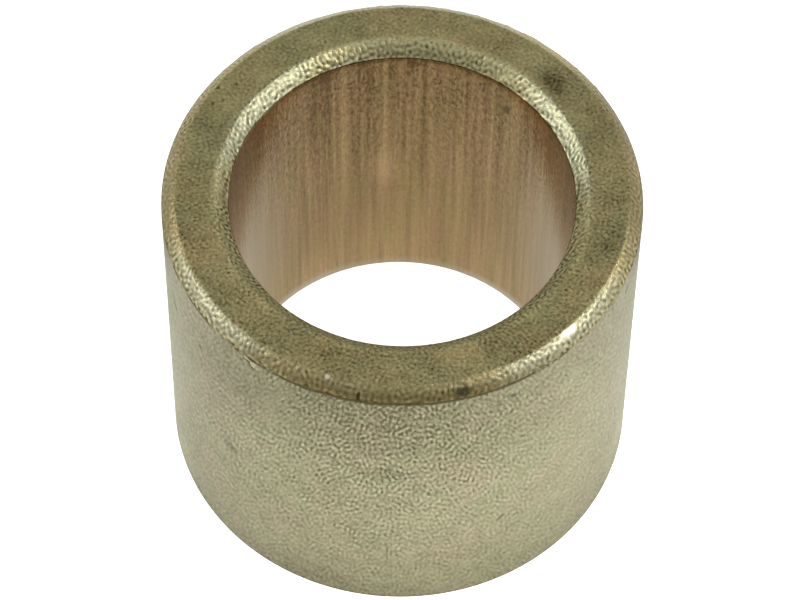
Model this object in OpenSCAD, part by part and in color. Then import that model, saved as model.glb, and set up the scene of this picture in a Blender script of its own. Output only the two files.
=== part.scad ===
// Plain sleeve bushing of sintered bronze.
// Bronze powder is pressed into a straight sleeve, sintered, filled with oil and sized, so it is
// one solid. The punches form a 45 degree chamfer on every rim. The sleeve stands on its lower
// end face, with its origin at the centre of that face and +Z along the bore.

/* [Sleeve] */
// Bore diameter, which runs on the shaft
bore_d = 12; // [6:0.05:13]
// Outside diameter, which presses into the housing
outer_d = 16.65; // [16:0.05:30]
// Overall length from end face to end face
length = 14.3; // [6:0.1:40]

/* [Rims] */
// Chamfer of the outer rim at both ends
outer_chamfer = 0.5; // [0.2:0.05:0.6]
// Chamfer of the bore at the upper end
bore_chamfer = 0.5; // [0.2:0.05:0.6]
// Chamfer of the bore at the lower end, deeper to lead the shaft in
lead_in_chamfer = 0.7; // [0.2:0.05:0.8]
// Radius that tumbling leaves on each corner of the rims
corner_radius = 0.1; // [0.02:0.01:0.12]

/* [Hidden] */

bore_r = bore_d / 2;
outer_r = outer_d / 2;
// Flats in the arc of one corner
corner_steps = 4;
// Flats in one full turn
turn_steps = 180;

// Corners of the wall's section as [radius, height], anticlockwise from the foot of the bore
wall_corners = [
    [bore_r + lead_in_chamfer, 0],
    [outer_r - outer_chamfer, 0],
    [outer_r, outer_chamfer],
    [outer_r, length - outer_chamfer],
    [outer_r - outer_chamfer, length],
    [bore_r + bore_chamfer, length],
    [bore_r, length - bore_chamfer],
    [bore_r, lead_in_chamfer],
];

// Vector of length 1 along v
function unit(v) = v / norm(v);

// Vector v turned anticlockwise by angle
function turned(v, angle) = [
    v.x * cos(angle) - v.y * sin(angle),
    v.x * sin(angle) + v.y * cos(angle),
];

// Arc that breaks the corner between the edges to the points before and after it
function broken_corner(before, corner, after) =
    let (
        back = unit(before - corner),
        ahead = unit(after - corner),
        half_angle = acos(back * ahead) / 2,
        centre = corner + unit(back + ahead) * corner_radius / sin(half_angle),
        first = corner + back * corner_radius / tan(half_angle),
        sweep = 180 - 2 * half_angle
    )
    [for (i = [0 : corner_steps]) centre + turned(first - centre, sweep * i / corner_steps)];

// Outline of the wall with every corner broken
function wall_section(corners) =
    let (count = len(corners))
    [
        for (i = [0 : count - 1])
            each broken_corner(
                corners[(i + count - 1) % count], corners[i], corners[(i + 1) % count]
            )
    ];

// The sleeve: its wall's section swept round the bore's axis
module bushing() {
    color("#938b68")
        rotate_extrude($fn = turn_steps)
            polygon(wall_section(wall_corners));
}

bushing();
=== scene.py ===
import math

import bmesh
import bpy
from mathutils import Matrix, Vector


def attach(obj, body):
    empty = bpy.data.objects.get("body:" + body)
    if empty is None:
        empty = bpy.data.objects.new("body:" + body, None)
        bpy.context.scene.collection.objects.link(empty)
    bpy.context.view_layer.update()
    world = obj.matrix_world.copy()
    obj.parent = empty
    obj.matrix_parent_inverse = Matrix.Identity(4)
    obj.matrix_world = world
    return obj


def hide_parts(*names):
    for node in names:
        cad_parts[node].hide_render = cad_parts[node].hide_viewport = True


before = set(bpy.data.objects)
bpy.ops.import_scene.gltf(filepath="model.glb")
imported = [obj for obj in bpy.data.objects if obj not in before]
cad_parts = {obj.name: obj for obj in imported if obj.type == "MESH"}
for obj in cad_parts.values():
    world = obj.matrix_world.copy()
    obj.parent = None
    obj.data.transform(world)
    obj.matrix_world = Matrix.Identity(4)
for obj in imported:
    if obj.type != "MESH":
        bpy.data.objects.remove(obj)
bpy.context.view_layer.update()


# The sleeve. A straight tube of bronze powder, pressed between punches that chamfer its rims, then
# sintered, filled with oil and sized. The die leaves the wall smoother than the grainy rims.
MM = 0.001
BORE_R = 6.0
OUTER_R = 8.325
LENGTH = 14.3
OUTER_CHAMFER = 0.5
BORE_CHAMFER = 0.5
LEAD_IN_CHAMFER = 0.7


class Wire:
    """One output of a node. Arithmetic on it adds Math nodes to the same tree."""

    def __init__(self, socket):
        self.socket = socket

    def node(self, kind, settings=None, inputs=None, out=0):
        """Adds any node: its settings first, then the values or links of its inputs."""
        tree = self.socket.id_data
        made = tree.nodes.new(kind)
        for name, value in (settings or {}).items():
            if name == "capture_items":
                made.capture_items.new(value, "kept")
            elif name == "index_switch_items":
                while len(made.index_switch_items) < value:
                    made.index_switch_items.new()
            else:
                setattr(made, name, value)
        for key, value in (inputs or {}).items():
            if isinstance(value, Wire):
                tree.links.new(value.socket, made.inputs[key])
            else:
                made.inputs[key].default_value = value
        return Wire(made.outputs[out]) if made.outputs else None

    def other(self, name):
        """Another output of the same node."""
        return Wire(self.socket.node.outputs[name])

    def math(self, operation, first, second=0.0):
        return self.node("ShaderNodeMath", {"operation": operation}, {0: first, 1: second})

    def __add__(self, value):
        return self.math("ADD", self, value)

    __radd__ = __add__

    def __sub__(self, value):
        return self.math("SUBTRACT", self, value)

    def __rsub__(self, value):
        return self.math("SUBTRACT", value, self)

    def __mul__(self, value):
        return self.math("MULTIPLY", self, value)

    __rmul__ = __mul__

    def __truediv__(self, value):
        return self.math("DIVIDE", self, value)

    def least(self, value):
        return self.math("MINIMUM", self, value)

    def most(self, value):
        return self.math("MAXIMUM", self, value)

    def rise(self, low, high):
        """0 at low and 1 at high, eased at both ends; it falls where low is above high."""
        return self.node(
            "ShaderNodeMapRange",
            {"interpolation_type": "SMOOTHSTEP"},
            {"Value": self, "From Min": low, "From Max": high},
        )

    def blend(self, under, over):
        """The colour under where this mask is 0 and over where it is 1."""
        return self.node(
            "ShaderNodeMix", {"data_type": "RGBA"}, {0: self, 6: under, 7: over}, 2
        )

    def vector(self, operation, first, second=(0.0, 0.0, 0.0), out=0):
        return self.node(
            "ShaderNodeVectorMath", {"operation": operation}, {0: first, 1: second}, out
        )

    def grain(self, size, detail=2.0, distortion=0.0, stretch=(1.0, 1.0, 1.0), offset=0.0):
        """Noise about 0, from -0.5 to 0.5, with lumps of that size in millimetres."""
        shifted = self.node(
            "ShaderNodeVectorMath",
            {"operation": "MULTIPLY_ADD"},
            {0: self, 1: stretch, 2: (offset, offset * 1.7, offset * 2.3)},
        )
        noise = self.node(
            "ShaderNodeTexNoise",
            {"noise_dimensions": "3D"},
            {"Vector": shifted, "Scale": 1.0 / size, "Detail": detail, "Distortion": distortion},
        )
        return noise - 0.5

    def strokes(self, width):
        """Short strokes at all angles on a flat pattern, about 0 with a spread of about 1."""
        waves = self.node(
            "ShaderNodeTexGabor",
            {"gabor_type": "2D"},
            {"Vector": self, "Scale": 0.24 / width, "Frequency": 2.0, "Anisotropy": 0.0},
        )
        return (waves - 0.5) * 6.0

    def spot(self, angle, radius, height, along, deep, tall, lean=0.0, soft=0.6):
        """1 in an ellipsoid round a point of the sleeve, 0 outside it; degrees and millimetres."""
        turn = math.radians(angle)
        centre = (radius * math.cos(turn), radius * math.sin(turn), height)
        if lean:
            kind, rotation = "EULER_XYZ", {"Rotation": (math.radians(lean), 0.0, turn)}
        else:
            kind, rotation = "Z_AXIS", {"Angle": turn}
        local = self.node(
            "ShaderNodeVectorRotate",
            {"rotation_type": kind, "invert": True},
            {"Vector": self.vector("SUBTRACT", self, centre), **rotation},
        )
        shrunk = self.vector("DIVIDE", local, (deep, along, tall))
        return self.vector("LENGTH", shrunk, out="Value").rise(1.0, 1.0 - soft)


def zones(place):
    """Depths below the sleeve's walls; slope is 0 on its ends, 1 on its walls, between on rims."""
    flat = place.vector("MULTIPLY", place, (1.0, 1.0, 0.0))
    radius = place.vector("LENGTH", flat, out="Value")
    height = place.node("ShaderNodeSeparateXYZ", {}, {0: place}, "Z")
    under_bore = radius - BORE_R
    under_top = LENGTH - height
    end = under_top.least(height).most(0.0)
    wall = under_bore.least(OUTER_R - radius).most(0.0)
    slope = end / (end + wall + 0.001)
    return {
        "radius": radius,
        "bore": under_bore,
        "inner": under_bore.rise(1.3, 1.0),
        "top": under_top,
        "foot": height,
        "slope": slope,
        "rim": slope.rise(0.01, 0.08) * slope.rise(0.985, 0.94),
    }


def nicks(place):
    """Where the real sleeve is nicked and dented, as depths in millimetres, with its burr's mask
    and a mask of painted shade in the nicks and dents and of a painted shadow under the burr.
    """
    lip = place.spot(233.1, OUTER_R, 13.67, 0.42, 0.4, 0.15, -22.0, 0.3)
    # A torn pit under the burr, darkened as a painted shadow of the burr
    torn_and_shaded = place.spot(232.4, OUTER_R, 13.46, 0.42, 0.4, 0.10, -33.0, 0.5)
    torn_and_shaded = torn_and_shaded.most(place.spot(236.6, OUTER_R, 13.78, 0.14, 0.4, 0.10))
    nick = place.spot(260.3, 8.20, 13.93, 0.10, 0.3, 0.18)
    pit = place.spot(285.0, 8.14, 13.99, 0.42, 0.3, 0.19)
    dents = place.spot(338.7, OUTER_R, 13.02, 0.30, 0.4, 0.16, 35.0)
    dents = dents.most(place.spot(297.6, OUTER_R, 12.95, 0.16, 0.4, 0.16))
    dents = dents.most(place.spot(295.8, OUTER_R, 4.9, 0.28, 0.4, 0.10, 40.0))
    dents = dents.most(place.spot(214.5, OUTER_R, 11.48, 0.13, 0.4, 0.24, 20.0))
    return {
        "lip": lip,
        "dark": torn_and_shaded.most(nick).most(pit * 0.8).most(dents * 0.7),
        "depth": torn_and_shaded * 0.05 + nick * 0.07 + pit * 0.02 + dents * 0.02 - lip * 0.05,
    }


lathe = bpy.data.node_groups.new("sleeve_lathe", "GeometryNodeTree")
lathe.interface.new_socket("Geometry", in_out="OUTPUT", socket_type="NodeSocketGeometry")
LATHE_SIZES = {
    "Bore Radius": BORE_R * MM,
    "Outer Radius": OUTER_R * MM,
    "Length": LENGTH * MM,
    "Outer Chamfer": OUTER_CHAMFER * MM,
    "Bore Chamfer": BORE_CHAMFER * MM,
    "Lead-in Chamfer": LEAD_IN_CHAMFER * MM,
    "Edge Radius": 0.04 * MM,
    "Shoulder Radius": 0.15 * MM,
}
LATHE_STEPS = 600
lathe_sockets = {}
for name in LATHE_SIZES:
    lathe_sockets[name] = lathe.interface.new_socket(
        name, in_out="INPUT", socket_type="NodeSocketFloat"
    )
lathe_sockets["Steps"] = lathe.interface.new_socket(
    "Steps", in_out="INPUT", socket_type="NodeSocketInt"
)
lathe_sockets["Finish"] = lathe.interface.new_socket(
    "Finish", in_out="INPUT", socket_type="NodeSocketMaterial"
)
size = Wire(lathe.nodes.new("NodeGroupInput").outputs["Bore Radius"])


def corner(across, up):
    return size.node("ShaderNodeCombineXYZ", {}, {"X": across, "Y": up})


def by_index(index, values):
    """Picks one of the values by index, as a field on the section's points."""
    return size.node(
        "GeometryNodeIndexSwitch",
        {"data_type": "FLOAT", "index_switch_items": len(values)},
        {0: index, **{number + 1: value for number, value in enumerate(values)}},
    )


outer, tall = size.other("Outer Radius"), size.other("Length")
section = size.node(
    "GeometryNodeCurvePrimitiveQuadrilateral",
    {"mode": "POINTS"},
    {
        "Point 1": corner(outer, tall),
        "Point 2": corner(size, tall),
        "Point 3": corner(size, 0.0),
        "Point 4": corner(outer, 0.0),
    },
)
index = size.node("GeometryNodeInputIndex")
chamfers = by_index(
    index,
    [
        size.other("Outer Chamfer"),
        size.other("Bore Chamfer"),
        size.other("Lead-in Chamfer"),
        size.other("Outer Chamfer"),
    ],
)
section = size.node(
    "GeometryNodeFilletCurve",
    {"mode": "POLY"},
    {"Curve": section, "Radius": chamfers, "Count": 1},
)
ARC_STEPS = 4
edge, shoulder = size.other("Edge Radius"), size.other("Shoulder Radius")
corners = by_index(index, [edge, shoulder, shoulder, edge, edge, edge, shoulder, edge])
section = size.node(
    "GeometryNodeFilletCurve",
    {"mode": "POLY"},
    {"Curve": section, "Radius": corners, "Count": ARC_STEPS},
)
# Extra rows on each straight of the section: outer chamfer, top, bore chamfer, bore, lead-in, foot,
# lower outer chamfer and outside
ROWS = [9, 10, 9, 22, 5, 6, 4, 53]
along = index / (ARC_STEPS + 1.0)
straight = by_index(along.math("FLOOR", along), ROWS)
ends_arc = along.math("GREATER_THAN", along.math("FRACT", along), 0.7)
section = size.node(
    "GeometryNodeSubdivideCurve", {}, {"Curve": section, "Cuts": straight * ends_arc}
)


def captured(curve, kind, value):
    """The curve with a value kept on its points, and that value as the swept mesh carries it."""
    kept = size.node("GeometryNodeCaptureAttribute", {"capture_items": kind}, {0: curve, 1: value})
    return kept, kept.other(1)


section, section_point = captured(section, "VECTOR", size.node("GeometryNodeInputPosition"))
turn = size.node(
    "GeometryNodeCurvePrimitiveCircle",
    {"mode": "RADIUS"},
    {"Resolution": size.other("Steps"), "Radius": 1.0},
)
turn, turn_point = captured(
    turn, "FLOAT", size.node("GeometryNodeSplineParameter", out="Index") / size.other("Steps")
)
sleeve = size.node("GeometryNodeCurveToMesh", {}, {"Curve": turn, "Profile Curve": section})
angle = turn_point * (2 * math.pi)
split = size.node("ShaderNodeSeparateXYZ", {}, {0: section_point}, "X")
lathed = size.node(
    "ShaderNodeCombineXYZ",
    {},
    {
        "X": split * angle.math("COSINE", angle),
        "Y": split * angle.math("SINE", angle),
        "Z": split.other("Y"),
    },
)
sleeve = size.node("GeometryNodeSetPosition", {}, {"Geometry": sleeve, "Position": lathed})
sleeve = size.node("GeometryNodeFlipFaces", {}, {0: sleeve})

# Relief in millimetres: rims that bulge and are lumpy with pressed grain, a fine skin elsewhere
position = size.node("GeometryNodeInputPosition")
place = size.node(
    "ShaderNodeVectorMath", {"operation": "SCALE"}, {0: position, "Scale": 1.0 / MM}
)
zone = zones(place)
rim, slope = zone["rim"], zone["slope"]
bulge = slope * (1 - slope) * (0.20 - zone["inner"] * 0.12)
lumps = place.grain(0.22, 2.0) * 0.040 + place.grain(0.6, 2.0, offset=3.0) * 0.04
skin = place.grain(0.3, 2.0, offset=7.0) * 0.012 - zone["foot"].rise(0.02, 0.0) * 0.008
ragged = place.grain(0.45, 3.0, offset=43.0) * slope.rise(0.55, 0.9) * (1 - zone["inner"] * 0.3)
relief = bulge + rim * (lumps - ragged * 0.12) + (1 - rim) * skin - nicks(place)["depth"]
normal = size.node("GeometryNodeInputNormal")
offset = size.node(
    "ShaderNodeVectorMath", {"operation": "SCALE"}, {0: normal, "Scale": relief * MM}
)
sleeve = size.node("GeometryNodeSetPosition", {}, {"Geometry": sleeve, "Offset": offset})
sleeve = size.node("GeometryNodeSetShadeSmooth", {}, {"Geometry": sleeve})
sleeve = size.node("GeometryNodeRealizeInstances", {}, {"Geometry": sleeve})
sleeve = size.node(
    "GeometryNodeSetMaterial", {}, {"Geometry": sleeve, "Material": size.other("Finish")}
)
size.node("NodeGroupOutput", {}, {"Geometry": sleeve})

bronze = bpy.data.materials.new("sintered_bronze")
bronze.use_nodes = True
bronze.node_tree.nodes.clear()
coordinate = Wire(bronze.node_tree.nodes.new("ShaderNodeTexCoord").outputs["Object"])
place = coordinate.node(
    "ShaderNodeVectorMath", {"operation": "SCALE"}, {0: coordinate, "Scale": 1.0 / MM}
)
zone = zones(place)
slope, rim = zone["slope"], zone["rim"]
on_wall = slope.rise(0.94, 0.985)
inner = zone["inner"]
on_bore = on_wall * inner
on_outside = on_wall * (1 - inner)
marked = nicks(place)

# The skin unrolled for a pattern of strokes: flat on the ends, round the sleeve and along its
# section elsewhere, coarser on the rims and drawn out along the walls, most in the bore
MIDDLE_R = (BORE_R + OUTER_R) / 2
x = place.node("ShaderNodeSeparateXYZ", {}, {0: place}, "X")
turn = x.math("ARCTAN2", x, 0 - x.other("Y"))
across = zone["radius"] - MIDDLE_R
walls = slope.math("GREATER_THAN", slope, 0.965)
on_rims = 1 - walls
flank = turn.math("SINE", turn) * (1 - inner) * walls
sway = turn * 0.275 - turn.math("SINE", turn * 2) * 0.1375
arc = turn - sway * walls * (1 - inner)
finer = 0.85 + walls * 0.15 + on_rims * inner * 0.11
tighter = 0.60 - walls * (0.05 + inner * 0.3) - on_rims * inner * 0.05
unrolled = place.node(
    "ShaderNodeCombineXYZ",
    {},
    {
        "X": arc * (OUTER_R - inner * (OUTER_R - BORE_R)) * finer,
        "Y": (zone["foot"] - across.math("ABSOLUTE", across)) * tighter
        + flank * flank * (OUTER_R * 0.546),
    },
)
pattern = place.node(
    "ShaderNodeMix",
    {"data_type": "VECTOR"},
    {0: slope.math("LESS_THAN", slope, 0.05), 4: unrolled, 5: place},
    1,
)

# Grain of the powder as short strokes and flecks, soft patches of tarnish
strokes = pattern.strokes(0.085)
flecks = pattern.grain(0.09, 1.0, 0.8, offset=5.0)
blotches = place.grain(0.35, 2.0, offset=13.0)
specks = place.grain(0.12, 1.0, offset=19.0)
patches = place.grain(1.3, 3.0, offset=11.0)


def patched(value, soft, spots):
    """The value changed in each spot: bearing, radius, height, along, deep, tall, change."""
    for bearing, radius, level, along, deep, tall, change in spots:
        value = value + place.spot(bearing, radius, level, along, deep, tall, soft=soft) * change
    return value


# The end faces are olive brown and matt, with browner and greener stretches, one dark stain at the
# right back and a few pits at the left back
FACE_DARK = (0.091, 0.070, 0.026, 1.0)
FACE_LIGHT = (0.709, 0.628, 0.32, 1.0)
GREENER = (0.955, 1.015, 0.99, 1.0)
BROWNER = (1.05, 0.985, 0.945, 1.0)
calm = 1 - x.other("Y").rise(-3.0, 5.0) * 0.28
shade = 0.51 + (strokes * 0.135 + flecks) * calm + blotches * 0.32 + patches * 0.60
# Painted highlight: lighter along the face's edge next to the bore's rim
shade = shade + zone["bore"].rise(0.80, 0.52) * 0.10
shade = patched(shade, 0.8, [(42.3, 6.99, LENGTH, 0.95, 0.68, 1.0, -0.31)])
shade = patched(shade, 1.0, [
    (345.0, 7.2, LENGTH, 2.4, 1.0, 1.0, -0.12), (329.0, 7.3, LENGTH, 0.6, 0.5, 1.0, -0.14),
    (296.0, 7.7, LENGTH, 1.0, 0.5, 1.0, 0.12), (284.0, 7.2, LENGTH, 2.4, 1.0, 1.0, 0.09),
])
for bearing, radius in ((146.7, 7.77), (146.7, 7.32), (143.2, 7.34), (149.7, 7.32), (152.0, 7.55)):
    shade = shade - place.spot(bearing, radius, LENGTH, 0.11, 0.09, 0.3) * 0.30
face = shade.blend(FACE_DARK, FACE_LIGHT)
tarnish = place.grain(1.7, 3.0, offset=31.0) + blotches * 0.45 + specks * 0.6
face = place.vector("MULTIPLY", face, tarnish.rise(-0.28, 0.28).blend(GREENER, BROWNER))

# The pressed rims carry painted shade towards the walls and are pale over several stretches, partly
# wear and partly painted highlight
RIM_DARK = (0.13, 0.11, 0.044, 1.0)
RIM_LIGHT = (0.75, 0.645, 0.335, 1.0)
RUBBED_HIGHLIT_DARK = (0.18, 0.165, 0.085, 1.0)
RUBBED_HIGHLIT_LIGHT = (0.73, 0.70, 0.475, 1.0)
RIM_BROWN = (0.48, 0.35, 0.145, 1.0)
FRONT_LOWER_BROWN = (0.28, 0.208, 0.066, 1.0)
SHADE_PATCH_BROWN = (0.28, 0.22, 0.108, 1.0)
GLEAMING = (1.0, 0.95, 0.75, 1.0)
BURR_DARK = (0.34, 0.31, 0.18, 1.0)
BURR_LIGHT = (0.72, 0.67, 0.43, 1.0)
PLAIN = (1.0, 1.0, 1.0, 1.0)
BORE_RIM_TINT = (0.985, 1.02, 1.0, 1.0)
# Pale stretches where the lamps catch the rims: partly wear, partly painted highlight; a little
# over all of the bore's rim
rubbed_and_highlit = inner * 0.25
for bearing, radius, level, along, deep, tall in (
    (315.0, 7.95, 14.15, 5.4, 1.0, 0.5), (216.0, 7.95, 14.15, 4.4, 1.0, 0.5),
    (146.0, 6.25, 14.05, 5.5, 1.2, 1.5), (24.0, 6.25, 14.05, 4.8, 1.2, 1.5),
):
    rubbed_and_highlit = rubbed_and_highlit.most(place.spot(bearing, radius, level, along, deep, tall, soft=0.7))
# A painted highlight along the back of the outer rim
back_stretch = place.spot(97.0, 8.2, 14.1, 7.4, 5.0, 0.8, soft=0.7)
rubbed_and_highlit = rubbed_and_highlit.most(back_stretch * (1 - inner))
from_front = turn.math("ABSOLUTE", turn)
frontal = from_front.rise(0.75, 0.30)
rearward = from_front.rise(1.9, 2.7) * (1 - inner)
rear = x.other("Y").rise(-3.0, 2.0)
# Painted shade: the outer rims darker towards their lower edge, with a dark line along it, most at
# the front
rim_shade = (slope * 0.24 + slope.rise(0.84, 0.95) * 0.22) * (0.30 + frontal * 0.50)
contrast = (0.22 + slope * 0.16 + inner * 0.03) * (1 - frontal * 0.2 - rearward * 0.5)
# Painted highlight at the back of the outer rim; painted shade on the upper edge of the pale
# stretches
shade = 0.58 + strokes * contrast + flecks * 0.7 + patches * 0.3 + rearward * 0.25
shade = shade - rim_shade * (1 - inner) - rubbed_and_highlit * slope.rise(0.32, 0.04) * (0.18 + inner * 0.08)
# Painted shade on the upper edge of the outer rim at the left and right highlights
crest = place.spot(203.0, 7.9, LENGTH, 2.0, 0.8, 0.5, soft=1.0) * 0.34
crest = crest + place.spot(318.0, 7.9, LENGTH, 2.0, 0.8, 0.5, soft=1.0) * 0.14
shade = shade - crest * slope.rise(0.34, 0.05)
# Painted highlight along the back of the outer rim; lighter on the rim at 297 degrees and beside
# the burr
shade = patched(shade, 0.8, [(112.0, 7.88, LENGTH, 2.4, 0.6, 0.4, 0.14)])
shade = patched(shade, 1.0, [
    (297.0, 8.1, 14.0, 1.2, 0.6, 0.6, 0.14), (233.5, 8.05, 14.1, 0.5, 0.3, 0.25, 0.20),
])

# Painted light and shade on the bore's rim: paler at the back and along its upper edge, darker at
# the front, with painted highlights where the lamps catch it and a painted bright line along its
# lower edge
middle = slope.rise(0.20, 0.45) * slope.rise(0.78, 0.50)
bore_rim_light_and_shade = slope.rise(0.50, 0.08) * (1 - rubbed_and_highlit) * (0.04 + rear * 0.22)
bore_rim_light_and_shade = bore_rim_light_and_shade + place.spot(33.0, 6.25, 14.05, 4.0, 1.2, 1.5, soft=0.8) * middle * 0.16
bore_rim_light_and_shade = patched(bore_rim_light_and_shade, 0.8, [
    (11.5, 6.25, 14.05, 0.8, 0.6, 0.6, 0.20), (54.0, 6.1, 13.95, 1.1, 0.4, 0.4, 0.12),
    (108.0, 6.45, 14.25, 1.7, 0.4, 0.4, 0.14), (137.0, 6.45, 14.25, 1.7, 0.4, 0.4, -0.15),
    (173.0, 6.25, 14.05, 1.7, 1.2, 1.5, 0.18),
])
bore_rim_light_and_shade = bore_rim_light_and_shade - slope.rise(0.62, 0.78) * slope.rise(0.90, 0.82) * 0.10
bore_rim_light_and_shade = bore_rim_light_and_shade + slope.rise(0.84, 0.92) * rear * 0.16
bore_rim_light_and_shade = bore_rim_light_and_shade + slope.rise(0.5, 0.95) * (0.06 - frontal * 0.21)
shade = shade + inner * (rear * 0.16 - 0.09 + bore_rim_light_and_shade)
rims = ((blotches + specks).rise(0.05, 0.40) * 0.6).blend(
    shade.blend(RIM_DARK, RIM_LIGHT), RIM_BROWN
)
rims = rubbed_and_highlit.blend(rims, shade.blend(RUBBED_HIGHLIT_DARK, RUBBED_HIGHLIT_LIGHT))
# Browner over the lower part of the outer rim at the front
front_lower_tint = frontal * slope.rise(0.25, 0.75) * (1 - inner) * 0.4
rims = front_lower_tint.blend(rims, FRONT_LOWER_BROWN)
rims = place.vector("MULTIPLY", rims, inner.blend(PLAIN, BORE_RIM_TINT))
# Painted highlights: a hot spot on the right of the outer rim, a fleck at its front left, and a
# broken bright line along the lower edge of the bore's rim at the back
gleam = place.spot(315.5, 7.95, 14.2, 0.45, 0.3, 0.2)
gleam = gleam.most(place.spot(252.2, 7.90, 14.24, 0.12, 0.13, 0.13))
glint = place.spot(107.5, 6.03, 13.84, 1.1, 0.2, 0.09, soft=0.5)
gleam = gleam.most(glint * (0.40 + strokes * 0.3))
rims = gleam.blend(rims, GLEAMING)
# Painted shade on the outer rim and wall at the left and right sides and towards the back, and a
# patch beside the burr
shade_patches = place.spot(184.0, OUTER_R, 14.0, 3.4, 2.0, 2.5, soft=1.0)
shade_patches = shade_patches.most(place.spot(357.0, OUTER_R, 14.0, 3.4, 2.0, 2.5, soft=1.0))
shade_patches = shade_patches.most(place.spot(22.0, OUTER_R, 14.0, 3.6, 2.0, 2.5, soft=0.9))
shade_patches = shade_patches.most(place.spot(167.0, OUTER_R, 14.0, 2.2, 2.0, 2.5, soft=1.0) * 0.6)
shade_patches = shade_patches.most(place.spot(234.3, 8.12, 14.0, 0.55, 0.4, 0.25) * 0.6)
rims = (shade_patches * (1 - inner) * 0.6).blend(rims, SHADE_PATCH_BROWN)
burr = (0.5 + strokes * 0.2).blend(BURR_DARK, BURR_LIGHT)
rims = marked["lip"].blend(rims, burr)

# The sized outside is pale khaki, with the strongest grain at the upper front and a dark, broken
# line under the rim. Painted shade darkens it at the sides near the top and towards the foot;
# painted light brightens its right side and the lower corners of the sides
OUTSIDE_DARK = (0.152, 0.139, 0.070, 1.0)
OUTSIDE_LIGHT = (0.666, 0.622, 0.385, 1.0)
ROSY = (1.03, 0.978, 1.02, 1.0)
LEAFY = (0.975, 1.015, 0.985, 1.0)
SEAM = (0.09, 0.074, 0.029, 1.0)
lively = patched(0.54 - zone["foot"].rise(3.5, 0.8) * 0.10, 1.0, [
    (270.0, OUTER_R, 10.5, 8.0, 6.0, 10.0, 0.78), (228.0, OUTER_R, 7.5, 3.0, 3.0, 3.5, 0.25),
    (238.0, OUTER_R, 11.6, 2.6, 3.0, 2.4, -0.30), (206.0, OUTER_R, 10.0, 2.5, 3.0, 4.0, -0.16),
])
sideways = from_front.rise(0.6, 1.2)
weave = strokes * (0.22 - sideways * 0.08) + flecks * (0.9 + sideways * 0.2)
shade = 0.5 + weave * lively + patches * 0.20 + blotches * 0.45 - shade_patches * 0.55
# Painted shade towards the foot and a dark painted line along its bottom edge
shade = shade - zone["foot"].rise(2.4, 0.4) * 0.12 - zone["foot"].rise(0.62, 0.52) * 0.25
# Darker at the upper front and upper left, painted shade low at the front, painted light on the
# right side, lighter right of the front
shade = patched(shade, 1.0, [
    (258.0, OUTER_R, 14.0, 9.5, 6.0, 6.2, -0.28), (252.0, OUTER_R, 0.5, 4.5, 3.0, 3.5, -0.16),
    (222.0, OUTER_R, 11.5, 3.0, 3.0, 3.6, -0.12), (318.0, OUTER_R, 6.5, 5.5, 4.0, 8.0, 0.20),
    (284.0, OUTER_R, 6.5, 4.5, 4.0, 4.5, 0.10),
])
# Dark streaks, a smudge and scratches, a darker patch, a bright fleck, a lighter patch, and painted
# highlights low at the left and right sides
for bearing, level, wide, tall, lean, change in (
    (200.0, 11.40, 0.13, 0.62, 33.0, -0.50), (225.0, 6.83, 0.45, 0.35, 0.0, -0.25),
    (267.6, 3.85, 0.05, 0.95, 0.0, -0.22), (301.8, 6.20, 0.07, 0.55, 40.0, -0.25),
    (266.5, 9.15, 1.3, 0.5, 0.0, -0.10), (252.5, 9.03, 0.30, 0.45, 0.0, 0.22),
    (315.0, 11.5, 0.8, 0.9, 0.0, 0.11), (342.0, 1.6, 1.4, 2.0, 0.0, 0.15),
    (201.0, 1.3, 1.2, 1.6, 0.0, 0.15),
):
    shade = shade + place.spot(bearing, OUTER_R, level, wide, 0.4, tall, lean) * change
outside = shade.blend(OUTSIDE_DARK, OUTSIDE_LIGHT)
tarnish = place.grain(2.2, 2.0, offset=41.0) + patches * 0.4 - from_front.rise(0.9, 1.45) * 0.22
tarnish = patched(tarnish, 1.0, [
    (220.0, OUTER_R, 10.2, 1.6, 2.0, 2.2, 0.3), (336.0, OUTER_R, 9.0, 1.2, 2.0, 4.0, 0.3),
])
outside = place.vector("MULTIPLY", outside, tarnish.rise(-0.25, 0.25).blend(LEAFY, ROSY))
ragged = place.grain(0.45, 3.0, offset=43.0)
broken = (ragged + 0.05 + frontal * 0.3).rise(0.0, 0.14)
seam = (zone["top"] + ragged * 0.25).rise(0.66, 0.53) * broken
outside = (seam * 0.9).blend(outside, SEAM)
outside = marked["lip"].blend(outside, burr)

# The bore is coppery, with axial streaks and scores from the sizing core and a dark ragged line
# under its rim. Painted shade darkens it towards the top and in its upper corners, painted light
# and glare brighten its foot, and a painted reflection greys its lower sides. At the left the rim's
# pale edge runs over into it
BORE_DARK = (0.197, 0.123, 0.047, 1.0)
BORE_LIGHT = (0.668, 0.474, 0.235, 1.0)
BORE_GREY = (0.60, 0.515, 0.335, 1.0)
BORE_GLARE = (0.75, 0.71, 0.58, 1.0)
OLIVE = (0.97, 1.02, 0.955, 1.0)
COPPERY = (1.03, 0.98, 1.045, 1.0)
SCORED = 0.8
streaks = place.grain(0.19, 3.0, stretch=(1.0, 1.0, 0.03), offset=23.0)
dashes = place.grain(0.09, 1.0, stretch=(1.0, 1.0, 0.45), offset=29.0)
bands = place.grain(0.9, 2.0, stretch=(1.0, 1.0, 0.02), offset=27.0)
pores = place.grain(0.17, 0.0, offset=17.0).rise(0.17, 0.26)
upper = zone["top"].rise(11.0, 1.0)
shade = 0.56 + bands * 0.40 + streaks * 0.92 + strokes * (0.02 + upper * 0.06)
shade = shade + dashes * (0.3 + upper * 0.8) - pores * zone["top"].rise(6.0, 1.5) * 0.30
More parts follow.
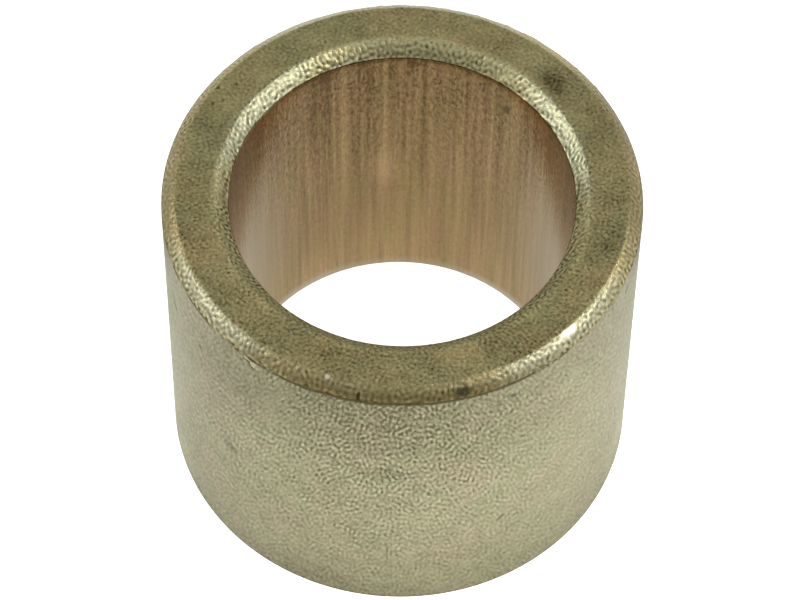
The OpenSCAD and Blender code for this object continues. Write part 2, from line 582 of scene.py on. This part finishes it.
# Painted shade towards the top and painted light towards the foot
shade = shade - zone["top"].rise(9.0, 0.5) * 0.20 + zone["top"].rise(8.0, 13.5) * 0.18
shade = shade - (zone["top"] + ragged * 0.3).rise(0.73, 0.58) * 0.32
for bearing, width, strength in (
    (130.2, 0.14, 0.10), (128.4, 0.08, -0.15), (122.4, 0.15, 0.30), (116.4, 0.12, 0.28),
    (114.6, 0.08, -0.22), (110.4, 0.08, -0.15), (105.6, 0.14, 0.20), (102.0, 0.10, 0.18),
    (96.6, 0.12, -0.30), (90.0, 0.12, 0.22), (83.0, 0.17, 0.34), (67.8, 0.15, 0.32),
    (65.4, 0.08, -0.15), (58.2, 0.10, -0.16), (55.2, 0.13, 0.25),
):
    score = place.spot(bearing, BORE_R, 11.0, width, 0.5, 8.5, soft=1.0)
    shade = shade - score * (strength * SCORED)
# Painted shade in the upper left and right corners, lighter near the top at 42 and 134 degrees,
# painted glare at the foot at 122 degrees
shade = patched(shade, 1.0, [
    (166.0, BORE_R, 13.5, 3.5, 3.0, 4.5, -0.24), (12.0, BORE_R, 13.5, 3.5, 3.0, 4.5, -0.15),
    (42.0, BORE_R, 13.3, 2.2, 2.0, 1.2, 0.14), (134.0, BORE_R, 13.3, 1.4, 2.0, 1.2, 0.12),
    (122.0, BORE_R, 0.9, 2.4, 2.0, 2.6, 0.12),
])
shade = patched(shade, 0.9, [(97.0, BORE_R, 7.1, 0.70, 0.5, 1.7, 0.26)])
shade = patched(shade, 0.6, [
    (52.5, BORE_R, 12.5, 0.18, 0.4, 0.35, -0.5), (16.0, BORE_R, 10.6, 0.25, 0.4, 0.30, -0.4),
    (87.0, BORE_R, 13.45, 0.35, 0.4, 0.35, -0.3), (116.5, BORE_R, 13.45, 0.5, 0.4, 0.35, -0.3),
])
inside = shade.blend(BORE_DARK, BORE_LIGHT)
tarnish = place.grain(0.7, 2.0, stretch=(1.0, 1.0, 0.25), offset=51.0)
inside = place.vector("MULTIPLY", inside, tarnish.rise(-0.22, 0.22).blend(OLIVE, COPPERY))
# A painted reflection greys the lower left and right sides
sides = place.spot(160.0, BORE_R, 5.5, 3.6, 3.0, 7.0, soft=1.0)
sides = sides.most(place.spot(22.0, BORE_R, 5.5, 3.6, 3.0, 7.0, soft=1.0))
inside = (sides * 0.7).blend(inside, BORE_GREY)
# Painted glare washes the foot pale, most towards the sides
foot_glare = zone["foot"].rise(1.25, 0.70) * (0.30 + x.math("ABSOLUTE", x).rise(1.0, 4.0) * 0.50)
inside = foot_glare.blend(inside, BORE_GLARE)
drip = (zone["top"] + ragged * 0.2).rise(0.66, 0.53)
drip = drip * place.spot(158.0, BORE_R, 13.8, 3.7, 2.5, 1.2, soft=0.7)
inside = (drip * 0.8).blend(inside, rims)


# One metal for each zone, laid over the one before it, with the rims' colour ragged on the face
NICK_SHADE = (0.05, 0.045, 0.025, 1.0)


def struck(colour):
    """The colour with painted shade in the nicks and dents and a painted shadow under the burr."""
    return (marked["dark"] * 0.85).blend(colour, NICK_SHADE)


def metal(colour, rough, height):
    """Bare bronze of that colour, with the grain's relief in millimetres."""
    bump = place.node("ShaderNodeBump", {}, {"Strength": 1.0, "Distance": MM, "Height": height})
    return place.node(
        "ShaderNodeBsdfPrincipled",
        {},
        {"Base Color": colour, "Metallic": 1.0, "Roughness": rough, "Normal": bump},
    )


def layered(mask, under, over):
    """The metal under where the mask is 0 and over where it is 1."""
    return place.node("ShaderNodeMixShader", {}, {0: mask, 1: under, 2: over})


torn_edge = zone["bore"] + place.grain(0.3, 2.0, offset=47.0) * 0.30
spill = torn_edge.rise(0.64, 0.50) * (1 - on_bore)
rim_rough = 0.40 + inner * x.other("Y").rise(1.0, -2.5) * 0.30
finish = layered(
    rim.most(spill * 0.8),
    metal(face, 0.52, flecks * 0.0052),
    metal(struck(rims), rim_rough, strokes * 0.0034 + flecks * 0.008),
)
finish = layered(on_outside, finish, metal(struck(outside), 0.42, flecks * 0.0012))
finish = layered(on_bore, finish, metal(inside, 0.22, flecks * 0.0052))
place.node("ShaderNodeOutputMaterial", {}, {"Surface": finish})

blank = bpy.data.objects.new("bushing_blank", bpy.data.meshes.new("bushing_blank"))
bpy.context.scene.collection.objects.link(blank)
modifier = blank.modifiers.new("lathe", "NODES")
modifier.node_group = lathe
for name, value in LATHE_SIZES.items():
    modifier[lathe_sockets[name].identifier] = value
modifier[lathe_sockets["Steps"].identifier] = LATHE_STEPS
modifier[lathe_sockets["Finish"].identifier] = bronze
graph = bpy.context.evaluated_depsgraph_get()
sleeve_mesh = bpy.data.meshes.new_from_object(blank.evaluated_get(graph), depsgraph=graph)
bpy.data.objects.remove(blank)
shaped = bmesh.new()
shaped.from_mesh(sleeve_mesh)
bmesh.ops.remove_doubles(shaped, verts=shaped.verts, dist=0.002 * MM)
bmesh.ops.recalc_face_normals(shaped, faces=shaped.faces)
shaped.to_mesh(sleeve_mesh)
shaped.free()
bushing = bpy.data.objects.new("sintered_sleeve", sleeve_mesh)
bpy.context.scene.collection.objects.link(bushing)
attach(bushing, "root")
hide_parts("bushing")


# The floor. A white sheet that the sleeve stands on, bright enough to burn out to white in the
# photo, with only the faint shadow next to the sleeve left.
floor_mesh = bpy.data.meshes.new("floor")
HALF_FLOOR = 0.6
floor_mesh.from_pydata(
    [(-HALF_FLOOR, -HALF_FLOOR, 0), (HALF_FLOOR, -HALF_FLOOR, 0),
     (HALF_FLOOR, HALF_FLOOR, 0), (-HALF_FLOOR, HALF_FLOOR, 0)],
    [], [(0, 1, 2, 3)],
)
floor = bpy.data.objects.new("floor", floor_mesh)
bpy.context.scene.collection.objects.link(floor)
white_sheet = bpy.data.materials.new("white_sheet")
white_sheet.use_nodes = True
white_sheet.node_tree.nodes.clear()
ray = Wire(white_sheet.node_tree.nodes.new("ShaderNodeLightPath").outputs["Is Camera Ray"])
seen = ray.most(ray.other("Is Glossy Ray")).most(ray.other("Is Transmission Ray"))
paper = ray.node("ShaderNodeBsdfDiffuse", {}, {"Color": (0.8, 0.8, 0.8, 1.0)})
spread = ray.node("ShaderNodeTexCoord", out="Object")
away = ray.vector("LENGTH", spread, out="Value") / MM
back = ray.node("ShaderNodeSeparateXYZ", {}, {0: spread}, "Y") / MM
# Painted light in the sheet as the metal mirrors it: brighter in a ring round the back half of the
# sleeve, dimmer further behind
near = back.rise(-3.0, 1.0) * away.rise(8.3, 9.0) * away.rise(13.0, 9.5)
far = back.rise(4.0, 9.0) * away.rise(8.3, 9.0)
mirrored = 0.45 + near * 0.30 - far * 0.20
glow = ray.node("ShaderNodeEmission", {}, {"Color": seen * mirrored + ray * 0.7})
sheet = ray.node("ShaderNodeAddShader", {}, {0: paper, 1: glow})
ray.node("ShaderNodeOutputMaterial", {}, {"Surface": sheet})
floor_mesh.materials.append(white_sheet)


# The studio. Two low soft lamps at the sides, a pale room and a darker ceiling.
world = bpy.data.worlds.new("studio")
bpy.context.scene.world = world
world.use_nodes = True
world.node_tree.nodes.clear()
ray = Wire(world.node_tree.nodes.new("ShaderNodeLightPath").outputs["Is Camera Ray"])
direction = ray.node("ShaderNodeTexCoord", out="Generated")
climb = ray.node("ShaderNodeSeparateXYZ", {}, {0: direction}, "Z")
ahead = 0 - climb.other("Y")
dim = ahead.rise(0.40, 0.95) * climb.rise(0.9, 0.1)
room = 0.62 - climb.rise(0.0, 0.5) * 0.15 - dim * 0.36
seen_colour = ray.blend(room, (1.0, 1.0, 1.0, 1.0))
background = ray.node("ShaderNodeBackground", {}, {"Color": seen_colour})
ray.node("ShaderNodeOutputWorld", {}, {"Surface": background})


def soft_lamp(name, direction, distance, width, height, watts):
    """An area lamp that looks at the sleeve's middle from that direction."""
    lamp = bpy.data.lights.new(name, "AREA")
    lamp.shape = "RECTANGLE"
    lamp.size, lamp.size_y = width, height
    lamp.energy = watts
    item = bpy.data.objects.new(name, lamp)
    bpy.context.scene.collection.objects.link(item)
    toward = Vector(direction).normalized()
    item.matrix_world = Matrix.Translation(
        Vector((0, 0, LENGTH * MM / 2)) + toward * distance
    ) @ toward.to_track_quat("Z", "Y").to_matrix().to_4x4()


soft_lamp("right_lamp", (0.755, -0.17, 0.632), 0.3, 0.21, 0.08, 0.25)
soft_lamp("left_lamp", (-0.845, 0.08, 0.53), 0.3, 0.19, 0.08, 0.16)


# The camera. A long lens, looking down on the sleeve from the front.
FOCAL_PX = 4239.38
DISTANCE = 151.995
ELEVATION = 57.2368
AIM_UP, AIM_SIDE, ROLL = 0.0425, 0.0107, 0.859
lens = bpy.data.cameras.new("camera")
lens.sensor_fit = "HORIZONTAL"
lens.sensor_width = 36.0
lens.lens = FOCAL_PX / 800 * 36.0
lens.clip_start = 0.005
lens.clip_end = 5.0
camera = bpy.data.objects.new("camera", lens)
bpy.context.scene.collection.objects.link(camera)
rise = math.radians(ELEVATION)
camera.matrix_world = (
    Matrix.Translation(
        Vector((0, -DISTANCE * math.cos(rise), LENGTH / 2 + DISTANCE * math.sin(rise))) * MM
    )
    @ Matrix.Rotation(math.radians(90 - ELEVATION + AIM_UP), 4, "X")
    @ Matrix.Rotation(math.radians(AIM_SIDE), 4, "Y")
    @ Matrix.Rotation(math.radians(ROLL), 4, "Z")
)
bpy.context.scene.camera = camera
bpy.context.scene.view_settings.view_transform = "Standard"
